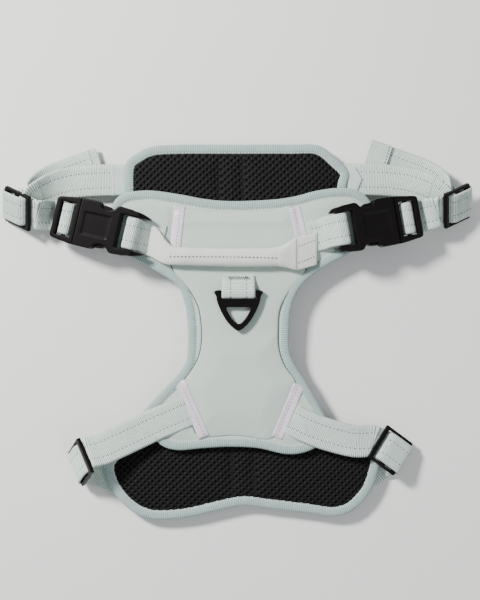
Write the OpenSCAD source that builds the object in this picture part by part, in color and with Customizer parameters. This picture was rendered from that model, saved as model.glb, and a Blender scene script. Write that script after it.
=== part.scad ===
// Dog walking harness lying flat with the back panel up: two padded panels,
// two side-release buckles, four web adjusters, a grab handle and two lead rings.
// Millimetres, +Z up, +Y towards the neck end, origin under the middle of the bounding box.

/* [Panels] */
// Width of the bound edge of both panels
bind_w = 7.2; // [5:0.2:8]
// Thickness of the outer shell cloth
shell_t = 0.8; // [0.6:0.1:1]
// Thickness of the back panel foam
back_foam_t = 3.2; // [2.4:0.2:3.6]
// Thickness of the front panel foam
front_foam_t = 3; // [2:0.2:3.2]
// Thickness of the air mesh lining
mesh_t = 1; // [0.6:0.1:1.2]

/* [Webbing] */
// Width of the webbing
web_w = 24; // [20:1:24]
// Thickness of the webbing
web_t = 1.4; // [1:0.1:1.6]
// Width of the reflective strips
strip_w = 7.4; // [5:0.2:8]

/* [Hardware] */
// Overall thickness of the side-release buckles
buckle_t = 11; // [10:0.5:11]
// Tilt of the buckles, outer end down
buckle_tilt = 10; // [8:1:12]
// Thickness of the web adjuster frames
slider_t = 3; // [2.4:0.2:3.4]
// Thickness of the back lead ring
ring_t = 4.4; // [3.6:0.2:4.6]

/* [Handle] */
// Width of the padded grip
grip_w = 14; // [12:1:15]
// Height of the padded grip
grip_h = 9; // [7:0.5:10]

/* [Hidden] */
$fn = 48;

// origin of the drawing plane within the frame
ox = 0.5;
oy = -1.64;

// stack of levels
z_web = 4.2;
z_front = z_web + web_t;
z_foam1 = z_front + shell_t;
z_mesh1 = z_foam1 + front_foam_t;
z_top1 = z_mesh1 + mesh_t;
z_back = 12;
z_foam2 = z_back + mesh_t;
z_shell2 = z_foam2 + back_foam_t;
z_top2 = z_shell2 + shell_t;
centre_t = 0.8;
z_top3 = z_top2 + centre_t;

// ---- helpers ----
function cr(a, b, c, d, t) = 0.5 * ((2 * b) + (c - a) * t + (2 * a - 5 * b + 4 * c - d) * t * t
  + (3 * b - a - 3 * c + d) * t * t * t);
function loop_pts(p, k) = let (n = len(p))
  [for (i = [0 : n - 1]) for (j = [0 : k - 1])
    cr(p[(i + n - 1) % n], p[i], p[(i + 1) % n], p[(i + 2) % n], j / k)];
function turn90(v) = [-v[1], v[0]];
// moves each point of a counter-clockwise loop inwards by d, leaving out points that land nearer than that to the loop
function inset(p, d) = let (n = len(p))
  [for (i = [0 : n - 1]) let (t = p[(i + 1) % n] - p[(i + n - 1) % n], q = p[i] + d * turn90(t) / norm(t))
    if (min([for (s = p) norm(q - s)]) > d * 0.97) q];
function unit(v) = v / norm(v);
function ellipse(a, b, n) = [for (i = [0 : n - 1]) [a * cos(360 * i / n), b * sin(360 * i / n)]];
// 2D path thickened to a band
function seg_n(p, i) = let (n = len(p) - 1,
    u = i > 0 ? unit(p[i] - p[i - 1]) : unit(p[1] - p[0]),
    v = i < n ? unit(p[i + 1] - p[i]) : u, m = unit(u + v), c = m * u) turn90(m) / c;
function band(p, t) = concat([for (i = [0 : len(p) - 1]) p[i] + seg_n(p, i) * t / 2],
  [for (i = [len(p) - 1 : -1 : 0]) p[i] - seg_n(p, i) * t / 2]);

module slab(p, z, t) { translate([0, 0, z]) linear_extrude(t) polygon(p); }
module rim(p, z, t) { translate([0, 0, z]) linear_extrude(t) difference() { polygon(p); polygon(inset(p, bind_w)); } }
// a band of webbing: path in length and height, laid from pos in direction ang
module ribbon(path, w, t, pos, ang) {
  translate([pos[0], pos[1], 0]) rotate([0, 0, ang]) rotate([90, 0, 0])
    translate([0, 0, -w / 2]) linear_extrude(w) polygon(band(path, t));
}
// places a body by its centre, its x direction r and its y direction b
module placed(c, r, b) {
  x = unit(r); z0 = unit(cross(r, b)); z = z0[2] < 0 ? -z0 : z0; y = cross(z, x);
  multmatrix([[x[0], y[0], z[0], c[0]], [x[1], y[1], z[1], c[1]], [x[2], y[2], z[2], c[2]], [0, 0, 0, 1]]) children();
}
module frame() { translate([-ox, -oy, 0]) children(); }

sage = [0.72, 0.77, 0.73];
sage_dark = [0.62, 0.69, 0.67];
webc = [0.70, 0.76, 0.72];
lilac = [0.80, 0.77, 0.81];
black = [0.09, 0.08, 0.08];
mesh_c = [0.07, 0.07, 0.07];

// ---- outlines (counter-clockwise) ----
back_ctrl = [[101, 95], [92.5, 103.5], [80, 106.5], [61, 104.5], [43.5, 100], [25, 97.5], [-3.5, 96.5],
  [-23.5, 98], [-42.5, 101.5], [-66.5, 104.5], [-86, 101.5], [-93.5, 92.5], [-95.5, 79], [-92.5, 64],
  [-80, 55], [-64, 46.5], [-45, 34], [-39.5, 22.5], [-36.8, 7], [-36.5, -14], [-38.5, -25], [-45, -34.5],
  [-59, -49], [-70.5, -63], [-68, -71.5], [-57.5, -85.5], [-44.5, -90], [-25, -88.5], [-5, -87.5], [16, -88.5],
  [35.5, -92.8], [48.5, -92.3], [59.5, -88], [68, -81], [71.5, -73.5], [66.5, -65], [52.5, -40], [43.5, -26], [39.5, -14.5],
  [39.5, 1.5], [41, 16], [46.5, 30], [60, 43.5], [88, 59.5], [101.5, 71.5], [103.5, 83]];
back_o = loop_pts(back_ctrl, 3);
front_ctrl = [[62, 138.8], [76, 128.5], [85, 118.5], [83, 108], [81, 92], [70, 68], [48, 42], [32, 22], [28, 0],
  [30, -28], [44, -52], [66, -69], [88, -79], [104, -86], [108, -97], [105, -112], [100, -123], [91, -133.5], [81.5, -139], [70, -140.5],
  [52.5, -138], [23.5, -134.5], [4.5, -132.5], [-15.5, -136.5], [-35, -141], [-53.5, -143], [-67, -142],
  [-79, -136.5], [-90, -126], [-97, -114], [-99, -101], [-92, -91], [-78, -80], [-54, -66], [-36, -50], [-29, -28], [-28, 0],
  [-32, 22], [-50, 46], [-70, 70], [-82, 88], [-84.5, 104], [-83.5, 125], [-74, 133.5], [-62.5, 138.3], [-40, 139.5], [0, 139.5], [40, 139.5]];
front_o = loop_pts([for (i = [len(front_ctrl) - 1 : -1 : 0]) front_ctrl[i]], 3);
centre_ctrl = [[42, 92], [47, 70], [52, 52], [50, 42], [40, 30], [32.5, 16], [31, 1.5], [31.5, -14], [36, -27], [44, -39],
  [41, -50], [33, -70], [25.5, -81.5], [0, -79], [-20, -80], [-29, -80], [-37, -58], [-42.5, -42], [-38, -36], [-29.5, -23], [-26, -9],
  [-26.5, 7], [-29.5, 20], [-38, 34], [-47, 44], [-50, 56], [-47, 72], [-44.5, 90], [-25, 88.5], [0, 87.5], [24, 88.5]];
centre_o = loop_pts(centre_ctrl, 3);

// ---- back panel ----
module back_panel_shell() { color(sage) frame() slab(inset(back_o, bind_w), z_shell2, shell_t); }
module back_panel_foam() { color("white") frame() slab(inset(back_o, bind_w), z_foam2, back_foam_t); }
module back_panel_lining() { color(mesh_c) frame() slab(inset(back_o, bind_w), z_back, mesh_t); }
module back_panel_binding() { color(sage_dark) frame() rim(back_o, z_back, z_top2 - z_back); }
module back_centre_panel() { color(sage) frame() slab(centre_o, z_top2, centre_t); }

// reflective strips over the side seams of the centre panel
module strip(a, b) {
  d = b - a; l = norm(d);
  color(lilac) frame() translate([a[0], a[1], z_top3]) rotate([0, 0, atan2(d[1], d[0])])
    translate([0, -strip_w / 2, 0]) cube([l, strip_w, 0.5]);
}
module reflective_strip_upper_left() { strip([-42.5, 90.5], [-46.5, 58]); }
module reflective_strip_upper_right() { strip([43.5, 90], [50, 66]); }
module reflective_strip_lower_left() { strip([-42, -39.5], [-24, -79]); }
module reflective_strip_lower_right() { strip([46, -43], [30, -80]); }

// back lead ring: teardrop with a web slot, hinged on its round top bar
br = [1.5, 28, z_top3 + 3.2];
ring_half = [[15.8, 1.8], [16.6, -3], [15.2, -9], [11.5, -17], [6.5, -24], [0, -28.5]];
ring_ctrl = concat([[0, -28.5]], [for (i = [4 : -1 : 0]) [ring_half[i][0], ring_half[i][1]]],
  [for (i = [0 : 4]) [-ring_half[i][0], ring_half[i][1]]]);
hole_ctrl = [[0, -23.5], [4.5, -20], [8.8, -12.8], [7.8, -11], [0, -11], [-7.8, -11], [-8.8, -12.8], [-4.5, -20]];
module back_ring() {
  color(black) frame() translate(br) {
    difference() {
      translate([0, 0, -ring_t / 2]) linear_extrude(ring_t) polygon(loop_pts(ring_ctrl, 4));
      translate([0, 0, -ring_t]) linear_extrude(ring_t * 2) polygon(loop_pts(hole_ctrl, 4));
      translate([-13.2, -4.6, -ring_t]) cube([26.4, 12, ring_t * 2]);
    }
    rotate([0, 90, 0]) translate([0, 0, -14]) cylinder(h = 28, r = 1.5);
  }
}
module back_ring_tab() {
  color(webc) frame() translate([br[0], br[1], br[2]]) rotate([90, 0, 90]) translate([0, 0, -12]) linear_extrude(web_w)
    difference() {
      union() {
        circle(r = 2.9);
        polygon([[1, 2.4], [9, -0.4], [14, -0.4], [14, -2.7], [1, -2.7]]);
      }
      circle(r = 1.58);
    }
}

// ---- handle: padded grip over webbing, hinged where its ends are sewn down ----
hy = 64;
module handle_tab_left() { color(webc) frame() translate([-58.5, 48, z_top2]) cube([7.8, 35.4, web_t]); }
module handle_tab_right() { color(webc) frame() translate([54.8, 48, z_top2]) cube([5.6, 34, web_t]); }
module handle_grip() {
  color([0.78, 0.78, 0.73]) frame() translate([-47, 54.5, z_top2 + 2.2 + grip_h / 2])
    rotate([90, 0, 90]) linear_extrude(88) difference() {
      polygon(ellipse(grip_w / 2, grip_h / 2, 28));
      translate([-5, -0.8]) square([10, 1.6]);
    }
}
module handle_webbing() {
  color(webc) frame() {
    translate([-47, 49.6, z_top2 + 2.2 + grip_h / 2 - 0.7]) cube([88, 9.8, 1.4]);
    translate([-58, 48.5, z_top2 + 2.2 + grip_h / 2 - 0.7]) cube([11, 16.5, 1.4]);
    translate([-58, 63, z_top2 + 1.5]) cube([8, 2, grip_h / 2 + 0.7]);
    translate([41, 48.5, z_top2 + 2.2 + grip_h / 2 - 0.7]) cube([19.8, 16.5, 1.4]);
    translate([54.8, 63, z_top2 + 1.5]) cube([6, 2, grip_h / 2 + 0.7]);
  }
}

// ---- front panel, its air mesh lining facing up ----
module front_panel_shell() { color(sage) frame() slab(inset(front_o, bind_w), z_front, shell_t); }
module front_panel_foam() { color("white") frame() slab(inset(front_o, bind_w), z_foam1, front_foam_t); }
module front_panel_lining() { color(mesh_c) frame() slab(inset(front_o, bind_w), z_mesh1, mesh_t); }
module front_panel_binding() { color(sage_dark) frame() rim(front_o, z_front, z_top1 - z_front); }
module front_centre_webbing() {
  color(webc) frame() translate([-4, 128, z_web]) rotate([0, 0, -88]) translate([0, -web_w / 2, 0]) cube([250, web_w, web_t]);
}
fr = [-4, 92, 2.1];
module front_ring_tab() {
  color(webc) frame() translate(fr) rotate([90, 0, 90]) translate([0, 0, -11]) linear_extrude(22)
    difference() {
      union() { circle(r = 2.1); translate([0, 0.2]) square([15, 1.88]); }
      circle(r = 1.48);
    }
}
module front_ring() {
  color(black) frame() translate(fr) {
    rotate([0, 90, 0]) translate([0, 0, -14]) cylinder(h = 28, r = 1.4);
    for (s = [-1, 1]) {
      translate([s * 14, 0, 0]) sphere(r = 1.4);
      translate([s * 14, 0, 0]) rotate([90, 0, 0]) cylinder(h = 8, r = 1.4);
    }
    translate([0, -8, 0]) rotate([0, 0, 180]) rotate_extrude(angle = 180) translate([14, 0]) circle(r = 1.4);
  }
}

// ---- side-release buckles: x runs outwards along the buckle, mouth at x = 0 ----
bl = [-117.8, 81, 19];
bl_ang = 166.9;
brr = [118.2, 81.8, 20.2];
brr_ang = 9.9;
bt = buckle_t / 2;
module on_buckle(right) {
  frame() translate(right ? brr : bl) rotate([0, 0, right ? brr_ang : bl_ang]) rotate([0, buckle_tilt, 0]) children();
}
fem_half = [[0, 17.8], [-12.5, 18], [-14.5, 17], [-16.5, 14.2], [-19, 13], [-23, 13], [-26, 14.5], [-28, 17.2], [-30, 18],
  [-39, 17.4], [-43.5, 16.2], [-45.8, 14.4], [-46.2, 12]];
function both(h) = concat(h, [for (i = [len(h) - 1 : -1 : 0]) [h[i][0], -h[i][1]]]);
module female() {
  color(black) difference() {
    translate([0, 0, -bt]) linear_extrude(buckle_t) polygon(both(fem_half));
    // cavity for the tongue and both arms
    translate([-27.5, -16.5, -3.5]) cube([28, 33, 7]);
    // recessed rectangle on the top face
    translate([-24.5, -8.5, bt - 0.5]) cube([20, 17, 1]);
    // slot for the shoulder web
    translate([-38.5, -12.7, -bt - 1]) cube([7, 25.4, buckle_t + 2]);
    translate([-48, -12.7, -bt - 1]) cube([4.5, 25.4, buckle_t + 2]);
    translate([-48, -12.7, bt - 2.4]) cube([11, 25.4, 6]);
  }
}
male_half = [[0.4, 17.8], [2.6, 17.8], [16.5, 15.8], [18.4, 15], [19, 13.5]];
module male() {
  color(black) {
    difference() {
      translate([0, 0, -4.2]) linear_extrude(8.4) polygon(both(male_half));
      translate([3.8, -12.8, -6]) cube([11.6, 25.6, 12]);
      // the web passes under the outer bar
      translate([15, -12.8, -8]) cube([6, 25.6, 6.6]);
    }
    // web bar
    translate([9.6, 0, -0.4]) rotate([90, 0, 0]) cylinder(h = 27, r = 1.7, center = true);
    // centre tongue
    translate([-20, -3, -2.6]) cube([20.5, 6, 5.2]);
  }
}
// sprung release arm, its finger tab filling the side scallop
arm_pts = [[0.1, 10], [0.1, 13], [-6, 14], [-12, 15.6], [-17, 16.2], [-22, 15.8], [-26.6, 13], [-26.6, 10.5], [-19, 11], [-12, 11.6], [-5, 10.8]];
module arm(s) { color(black) mirror([0, s < 0 ? 1 : 0, 0]) translate([0, 0, -3.1]) linear_extrude(6.2) polygon(arm_pts); }

module buckle_female_left() { on_buckle(false) female(); }
module buckle_female_right() { on_buckle(true) female(); }
module buckle_male_left() { on_buckle(false) male(); }
module buckle_male_right() { on_buckle(true) male(); }
module buckle_arm_upper_left() { on_buckle(false) arm(-1); }
module buckle_arm_lower_left() { on_buckle(false) arm(1); }
module buckle_arm_upper_right() { on_buckle(true) arm(1); }
module buckle_arm_lower_right() { on_buckle(true) arm(-1); }

// web loops that hold the female halves to the shoulders
module shoulder(right) {
  on_buckle(right) rotate([90, 0, 0]) translate([0, 0, -web_w / 2])
    linear_extrude(web_w) difference() {
      polygon([[-36.9, bt - 0.8], [-45.1, bt - 0.8], [-45.1, -bt + 0.2], [-49.5, -9.1], [-49.5, -10.5], [-45.1, -bt - 1.5], [-36.9, -bt - 1.5]]);
      translate([-43.6, -bt - 0.1]) square([5.2, 2 * bt - 2.2]);
    }
}
module shoulder_loop_left() { color(webc) shoulder(false); }
module shoulder_loop_right() { color(webc) shoulder(true); }

// ---- web adjusters ----
sl_w = web_w + 5;
module slider() {
  color(black) difference() {
    translate([-12.5, -sl_w / 2, -slider_t / 2]) cube([25, sl_w, slider_t]);
    translate([-9, -web_w / 2 - 0.5, -5]) cube([7, web_w + 1, 10]);
    translate([2, -web_w / 2 - 0.5, -5]) cube([7, web_w + 1, 10]);
  }
}
// webbing threaded under the outer bars and over the centre bar
module fold() {
  color(webc) rotate([90, 0, 0]) translate([0, 0, -web_w / 2])
    linear_extrude(web_w) polygon(band([[-9.6, -2.5], [-7.4, -2.5], [-4, 2.4], [4, 2.4], [7.4, -2.5], [9.6, -2.5]], web_t));
}
nl_c = [-164, 91, 15.2]; nl_r = [-17, 8, -11]; nl_b = [-2, -24, -14.4];
nr_c = [165, 93, 15.2]; nr_r = [17, 8, -11]; nr_b = [2, -24, -14.4];
gl_c = [-116.6, -99, 16]; gl_r = [-9, -13, -20.3]; gl_b = [10, -21, 9];
gr_c = [115.4, -90.4, 13]; gr_r = [17.2, -13, -4.8]; gr_b = [-12.8, -19.5, 7];
module neck_slider_left() { frame() placed(nl_c, nl_r, nl_b) slider(); }
module neck_slider_right() { frame() placed(nr_c, nr_r, nr_b) slider(); }
module girth_slider_left() { frame() placed(gl_c, gl_r, gl_b) slider(); }
module girth_slider_right() { frame() placed(gr_c, gr_r, gr_b) slider(); }
module neck_strap_fold_left() { frame() placed(nl_c, nl_r, nl_b) fold(); }
module neck_strap_fold_right() { frame() placed(nr_c, nr_r, nr_b) fold(); }
module girth_strap_fold_left() { frame() placed(gl_c, gl_r, gl_b) fold(); }
module girth_strap_fold_right() { frame() placed(gr_c, gr_r, gr_b) fold(); }

// ---- neck straps ----
zs = z_top1 + web_t / 2;
module neck_strap_left() { color(webc) frame() ribbon([[0, zs], [14, zs], [34, 5.4], [66, 5]], web_w, web_t, [-75, 112.8], 180); }
module neck_strap_right() { color(webc) frame() ribbon([[0, zs], [14, zs], [34, 5.4], [66, 5]], web_w, web_t, [76, 113.2], 0); }
module neck_strap_patch_left() { color(sage_dark) frame() translate([-92.5, 103.5, zs + web_t / 2]) cube([9, 19, 0.8]); }
module neck_strap_patch_right() {
  color(sage_dark) frame() translate([86, 112.5, zs + web_t / 2]) linear_extrude(0.8)
    polygon([[0, -5], [7, -5], [10, 2], [7, 10], [0, 10.5]]);
}
module neck_strap_tail_left() { color(webc) frame() ribbon([[0, 2.6], [24, 2.6], [48, 2]], web_w, web_t, [-103.5, 124], 196); }
module neck_strap_tail_right() { color(webc) frame() ribbon([[0, 2.6], [24, 2.6], [48, 2]], web_w, web_t, [105.5, 126.5], -19); }
// web between the adjuster and the buckle, doubled round the outer bar of the male half
module adjust(right) {
  on_buckle(right) rotate([90, 0, 0]) translate([0, 0, -web_w / 2]) linear_extrude(web_w)
    polygon(band([[29, -2.4], [14.2, -2.4], [12.3, -1.2], [12.1, 1], [10.6, 2.2], [8.6, 2.2], [7, 0.8], [6.9, -2], [8.4, -4.1], [14.2, -4.6], [29, -4.6]], 1.2));
}
module neck_adjust_web_left() { color(webc) adjust(false); }
module neck_adjust_web_right() { color(webc) adjust(true); }

// ---- girth straps ----
zg = z_top2 + web_t / 2;
module girth_strap_left() { color(webc) frame() ribbon([[0, zg], [42, zg], [68, 22]], web_w, web_t, [-41, -63], 203); }
module girth_strap_right() { color(webc) frame() ribbon([[0, zg], [36, zg], [55, 16]], web_w, web_t, [42.5, -70], -15.6); }
zr = z_web + web_t / 2;
module girth_return_web_left() { color(webc) frame() ribbon([[0, 0.7], [8, 0.7], [14, zr], [32, zr]], web_w, web_t, [-119, -103], -18); }
module girth_return_web_right() { color(webc) frame() ribbon([[0, 0.7], [8, 0.7], [14, zr], [32, zr]], web_w, web_t, [117, -106], 192); }

back_panel_shell();
back_panel_foam();
back_panel_lining();
back_panel_binding();
back_centre_panel();
reflective_strip_upper_left();
reflective_strip_upper_right();
reflective_strip_lower_left();
reflective_strip_lower_right();
back_ring_tab();
back_ring();
handle_grip();
handle_webbing();
handle_tab_left();
handle_tab_right();
shoulder_loop_left();
shoulder_loop_right();
front_panel_shell();
front_panel_foam();
front_panel_lining();
front_panel_binding();
front_centre_webbing();
front_ring_tab();
front_ring();
buckle_female_left();
buckle_female_right();
buckle_male_left();
buckle_male_right();
buckle_arm_upper_left();
buckle_arm_lower_left();
buckle_arm_upper_right();
buckle_arm_lower_right();
neck_strap_left();
neck_strap_right();
neck_strap_patch_left();
neck_strap_patch_right();
neck_strap_tail_left();
neck_strap_tail_right();
neck_adjust_web_left();
neck_adjust_web_right();
neck_strap_fold_left();
neck_strap_fold_right();
neck_slider_left();
neck_slider_right();
girth_strap_left();
girth_strap_right();
girth_return_web_left();
girth_return_web_right();
girth_strap_fold_left();
girth_strap_fold_right();
girth_slider_left();
girth_slider_right();
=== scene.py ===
import math

import bpy
import numpy as np
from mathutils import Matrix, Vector, noise
from mathutils.geometry import delaunay_2d_cdt


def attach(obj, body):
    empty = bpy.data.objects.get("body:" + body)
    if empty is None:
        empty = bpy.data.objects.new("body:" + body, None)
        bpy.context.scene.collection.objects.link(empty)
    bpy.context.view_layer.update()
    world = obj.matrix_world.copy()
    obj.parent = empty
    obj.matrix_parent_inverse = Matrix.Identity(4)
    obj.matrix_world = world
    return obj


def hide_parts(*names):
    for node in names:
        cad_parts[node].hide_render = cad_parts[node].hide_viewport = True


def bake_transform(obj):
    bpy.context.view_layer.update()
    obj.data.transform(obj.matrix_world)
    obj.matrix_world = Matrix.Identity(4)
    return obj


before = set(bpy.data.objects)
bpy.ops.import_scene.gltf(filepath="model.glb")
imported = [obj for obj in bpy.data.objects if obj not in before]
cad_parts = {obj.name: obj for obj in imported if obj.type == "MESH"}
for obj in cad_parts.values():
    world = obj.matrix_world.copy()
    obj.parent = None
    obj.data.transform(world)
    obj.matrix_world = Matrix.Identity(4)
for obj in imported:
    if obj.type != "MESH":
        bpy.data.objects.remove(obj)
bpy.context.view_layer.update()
OX, OY = 0.5, -1.64


# ------------------------------------------------------------------ helpers
def W(p):
    """Design millimetres to row frame metres."""
    p = np.asarray(p, float)
    q = np.empty_like(p)
    q[..., 0] = (p[..., 0] - OX) / 1000
    q[..., 1] = (p[..., 1] - OY) / 1000
    q[..., 2] = p[..., 2] / 1000
    return q


def unit(v):
    v = np.asarray(v, float)
    return v / np.maximum(np.linalg.norm(v, axis=-1, keepdims=True), 1e-12)


def cr_pts(ctrl, k, closed=False):
    p = np.asarray(ctrl, float)
    n = len(p)
    out = []
    for i in range(n if closed else n - 1):
        if closed:
            a, b, c, d = p[i - 1], p[i], p[(i + 1) % n], p[(i + 2) % n]
        else:
            b, c = p[i], p[i + 1]
            a = p[i - 1] if i > 0 else 2 * b - c
            d = p[i + 2] if i + 2 < n else 2 * c - b
        for j in range(k):
            t = j / k
            out.append(0.5 * (2 * b + (c - a) * t + (2 * a - 5 * b + 4 * c - d) * t * t
                              + (3 * b - a - 3 * c + d) * t ** 3))
    if not closed:
        out.append(p[-1])
    return np.array(out)


def resample(p, step, closed=False, extra=None):
    """Even spacing along a polyline; extra is an array carried along with it."""
    q = np.vstack([p, p[:1]]) if closed else p
    e = None if extra is None else (np.vstack([extra, extra[:1]]) if closed else extra)
    s = np.concatenate([[0], np.cumsum(np.linalg.norm(np.diff(q, axis=0), axis=1))])
    n = max(4, int(round(s[-1] / step)))
    t = np.linspace(0, s[-1], n + 1)
    if closed:
        t = t[:-1]
    r = np.stack([np.interp(t, s, q[:, i]) for i in range(q.shape[1])], 1)
    if e is None:
        return r, t
    x = np.stack([np.interp(t, s, e[:, i]) for i in range(e.shape[1])], 1)
    return r, t, x


def inset(p, d):
    t = np.roll(p, -1, 0) - np.roll(p, 1, 0)
    nrm = unit(np.stack([-t[:, 1], t[:, 0]], 1))
    q = p + d * nrm
    keep = dist_to(q, p) > abs(d) * 0.97
    return q[keep]


def dist_to(q, p, closed=True):
    """Distance of each point of q to the polyline p."""
    a = p
    b = np.roll(p, -1, 0) if closed else p[1:]
    if not closed:
        a = p[:-1]
    ab = b - a
    l2 = np.maximum((ab ** 2).sum(1), 1e-12)
    out = np.empty(len(q))
    for i in range(0, len(q), 4000):
        c = q[i:i + 4000]
        ap = c[:, None, :] - a[None]
        t = np.clip((ap * ab[None]).sum(2) / l2, 0, 1)
        out[i:i + 4000] = np.sqrt(((ap - t[..., None] * ab[None]) ** 2).sum(2).min(1))
    return out


def inside(q, p):
    x, y = q[:, 0], q[:, 1]
    c = np.zeros(len(q), bool)
    n = len(p)
    j = n - 1
    for i in range(n):
        xi, yi, xj, yj = p[i, 0], p[i, 1], p[j, 0], p[j, 1]
        hit = ((yi > y) != (yj > y)) & (x < (xj - xi) * (y - yi) / (yj - yi + 1e-12) + xi)
        c ^= hit
        j = i
    return c


def lump(x, y, s, seed=0.0):
    return np.array([noise.noise(Vector((a / s + seed, b / s - seed, seed))) for a, b in zip(x, y)])


def make(name, v_mm, faces, mat, uv=None, fac=None, smooth=True):
    """A mesh object from design millimetres. faces is a list of index lists or an (n,4) or (n,3) array."""
    me = bpy.data.meshes.new(name)
    faces = [list(map(int, f)) for f in faces]
    me.from_pydata(W(v_mm).tolist(), [], faces)
    me.update()
    if uv is not None:
        lay = me.uv_layers.new(name="UVMap")
        idx = np.empty(len(me.loops), int)
        me.loops.foreach_get("vertex_index", idx)
        lay.data.foreach_set("uv", np.asarray(uv, float)[idx].astype(np.float32).ravel())
    # fac carries the hole mask that the air mesh material paints near-black as painted shade
    if fac is not None:
        at = me.attributes.new("fac", "FLOAT", "POINT")
        at.data.foreach_set("value", np.asarray(fac, np.float32))
    if smooth:
        me.polygons.foreach_set("use_smooth", [True] * len(me.polygons))
    me.materials.append(mat)
    ob = bpy.data.objects.new(name, me)
    bpy.context.scene.collection.objects.link(ob)
    return ob


def outward(ob):
    """Makes the normals of a closed mesh point out."""
    import bmesh
    bm = bmesh.new()
    bm.from_mesh(ob.data)
    bmesh.ops.recalc_face_normals(bm, faces=bm.faces)
    bm.to_mesh(ob.data)
    bm.free()
    return ob


def finish_piece(ob, body, nodes=()):
    if body:
        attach(ob, body)
    if nodes:
        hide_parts(*nodes)
    return ob


# ------------------------------------------------------------------ materials
def nodes_of(name):
    m = bpy.data.materials.new(name)
    m.use_nodes = True
    nt = m.node_tree
    nt.nodes.clear()
    out = nt.nodes.new("ShaderNodeOutputMaterial")
    b = nt.nodes.new("ShaderNodeBsdfPrincipled")
    nt.links.new(b.outputs[0], out.inputs[0])
    return m, nt, b


def srgb(r, g, b):
    return tuple(((c / 255 + 0.055) / 1.055) ** 2.4 if c > 10 else c / 255 / 12.92 for c in (r, g, b))


def mix_color(nt, fac, a, b):
    n = nt.nodes.new("ShaderNodeMix")
    n.data_type = "RGBA"
    n.inputs[6].default_value = (*a, 1)
    n.inputs[7].default_value = (*b, 1)
    nt.links.new(fac, n.inputs[0])
    return n.outputs[2]


def obj_noise(nt, scale, detail=3.0):
    tc = nt.nodes.new("ShaderNodeTexCoord")
    n = nt.nodes.new("ShaderNodeTexNoise")
    n.inputs["Scale"].default_value = scale
    n.inputs["Detail"].default_value = detail
    nt.links.new(tc.outputs["Object"], n.inputs["Vector"])
    return n


def add_bump(nt, b, height, strength, dist):
    k = nt.nodes.new("ShaderNodeBump")
    k.inputs["Strength"].default_value = strength
    k.inputs["Distance"].default_value = dist
    nt.links.new(height, k.inputs["Height"])
    nt.links.new(k.outputs[0], b.inputs["Normal"])


def weave_height(nt, pitch):
    """A plain weave from two crossed sine bands, in object coordinates."""
    tc = nt.nodes.new("ShaderNodeTexCoord")
    outs = []
    for axis in ("X", "Y"):
        w = nt.nodes.new("ShaderNodeTexWave")
        w.wave_type = "BANDS"
        w.bands_direction = axis
        w.inputs["Scale"].default_value = 0.314 / pitch
        w.inputs["Distortion"].default_value = 0.6
        w.inputs["Detail"].default_value = 1.0
        nt.links.new(tc.outputs["Object"], w.inputs["Vector"])
        outs.append(w.outputs["Fac"])
    m = nt.nodes.new("ShaderNodeMath")
    m.operation = "MULTIPLY"
    nt.links.new(outs[0], m.inputs[0])
    nt.links.new(outs[1], m.inputs[1])
    return m.outputs[0]


def cloth_mat(name, col, var=0.05, rough=0.92, sheen=0.25, pitch=0.0007, bump=0.25, big=14):
    m, nt, b = nodes_of(name)
    n = obj_noise(nt, big, 5)
    c = mix_color(nt, n.outputs["Fac"], tuple(x * (1 - 2 * var) for x in col), tuple(min(1, x * (1 + 2 * var)) for x in col))
    nt.links.new(c, b.inputs["Base Color"])
    b.inputs["Roughness"].default_value = rough
    b.inputs["Sheen Weight"].default_value = sheen
    b.inputs["Sheen Roughness"].default_value = 0.5
    b.inputs["Specular IOR Level"].default_value = 0.25
    add_bump(nt, b, weave_height(nt, pitch), bump, 0.0002)
    return m


def web_mat(name, col, dark, pitch=1.2):
    """Ribbed webbing: ribs run across the strap, u is millimetres along it. The rib valleys are painted in the second,
    darker colour as painted shade; a noise adds random tone.
    """
    m, nt, b = nodes_of(name)
    uv = nt.nodes.new("ShaderNodeUVMap")
    uv.uv_map = "UVMap"
    sep = nt.nodes.new("ShaderNodeSeparateXYZ")
    nt.links.new(uv.outputs[0], sep.inputs[0])
    mul = nt.nodes.new("ShaderNodeMath")
    mul.operation = "MULTIPLY"
    mul.inputs[1].default_value = 2 * math.pi / pitch
    nt.links.new(sep.outputs["X"], mul.inputs[0])
    sn = nt.nodes.new("ShaderNodeMath")
    sn.operation = "COSINE"
    nt.links.new(mul.outputs[0], sn.inputs[0])
    # painted shade: the cosine of u maps the rib valleys towards the darker colour
    rib_valley_shade = nt.nodes.new("ShaderNodeMapRange")
    rib_valley_shade.inputs["From Min"].default_value = -1.0
    rib_valley_shade.inputs["From Max"].default_value = 0.3
    nt.links.new(sn.outputs[0], rib_valley_shade.inputs["Value"])
    n = obj_noise(nt, 320, 4)
    add = nt.nodes.new("ShaderNodeMath")
    add.operation = "MULTIPLY_ADD"
    add.inputs[1].default_value = 0.78
    nt.links.new(rib_valley_shade.outputs[0], add.inputs[0])
    half = nt.nodes.new("ShaderNodeMath")
    half.operation = "MULTIPLY"
    half.inputs[1].default_value = 0.36
    nt.links.new(n.outputs["Fac"], half.inputs[0])
    nt.links.new(half.outputs[0], add.inputs[2])
    # painted shade: rib valleys get the darker colour, rib crests the web colour
    c = mix_color(nt, add.outputs[0], dark, col)
    nt.links.new(c, b.inputs["Base Color"])
    b.inputs["Roughness"].default_value = 0.72
    b.inputs["Sheen Weight"].default_value = 0.2
    b.inputs["Specular IOR Level"].default_value = 0.3
    n2 = obj_noise(nt, 1800, 2)
    add_bump(nt, b, n2.outputs["Fac"], 0.25, 0.00025)
    return m


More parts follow.
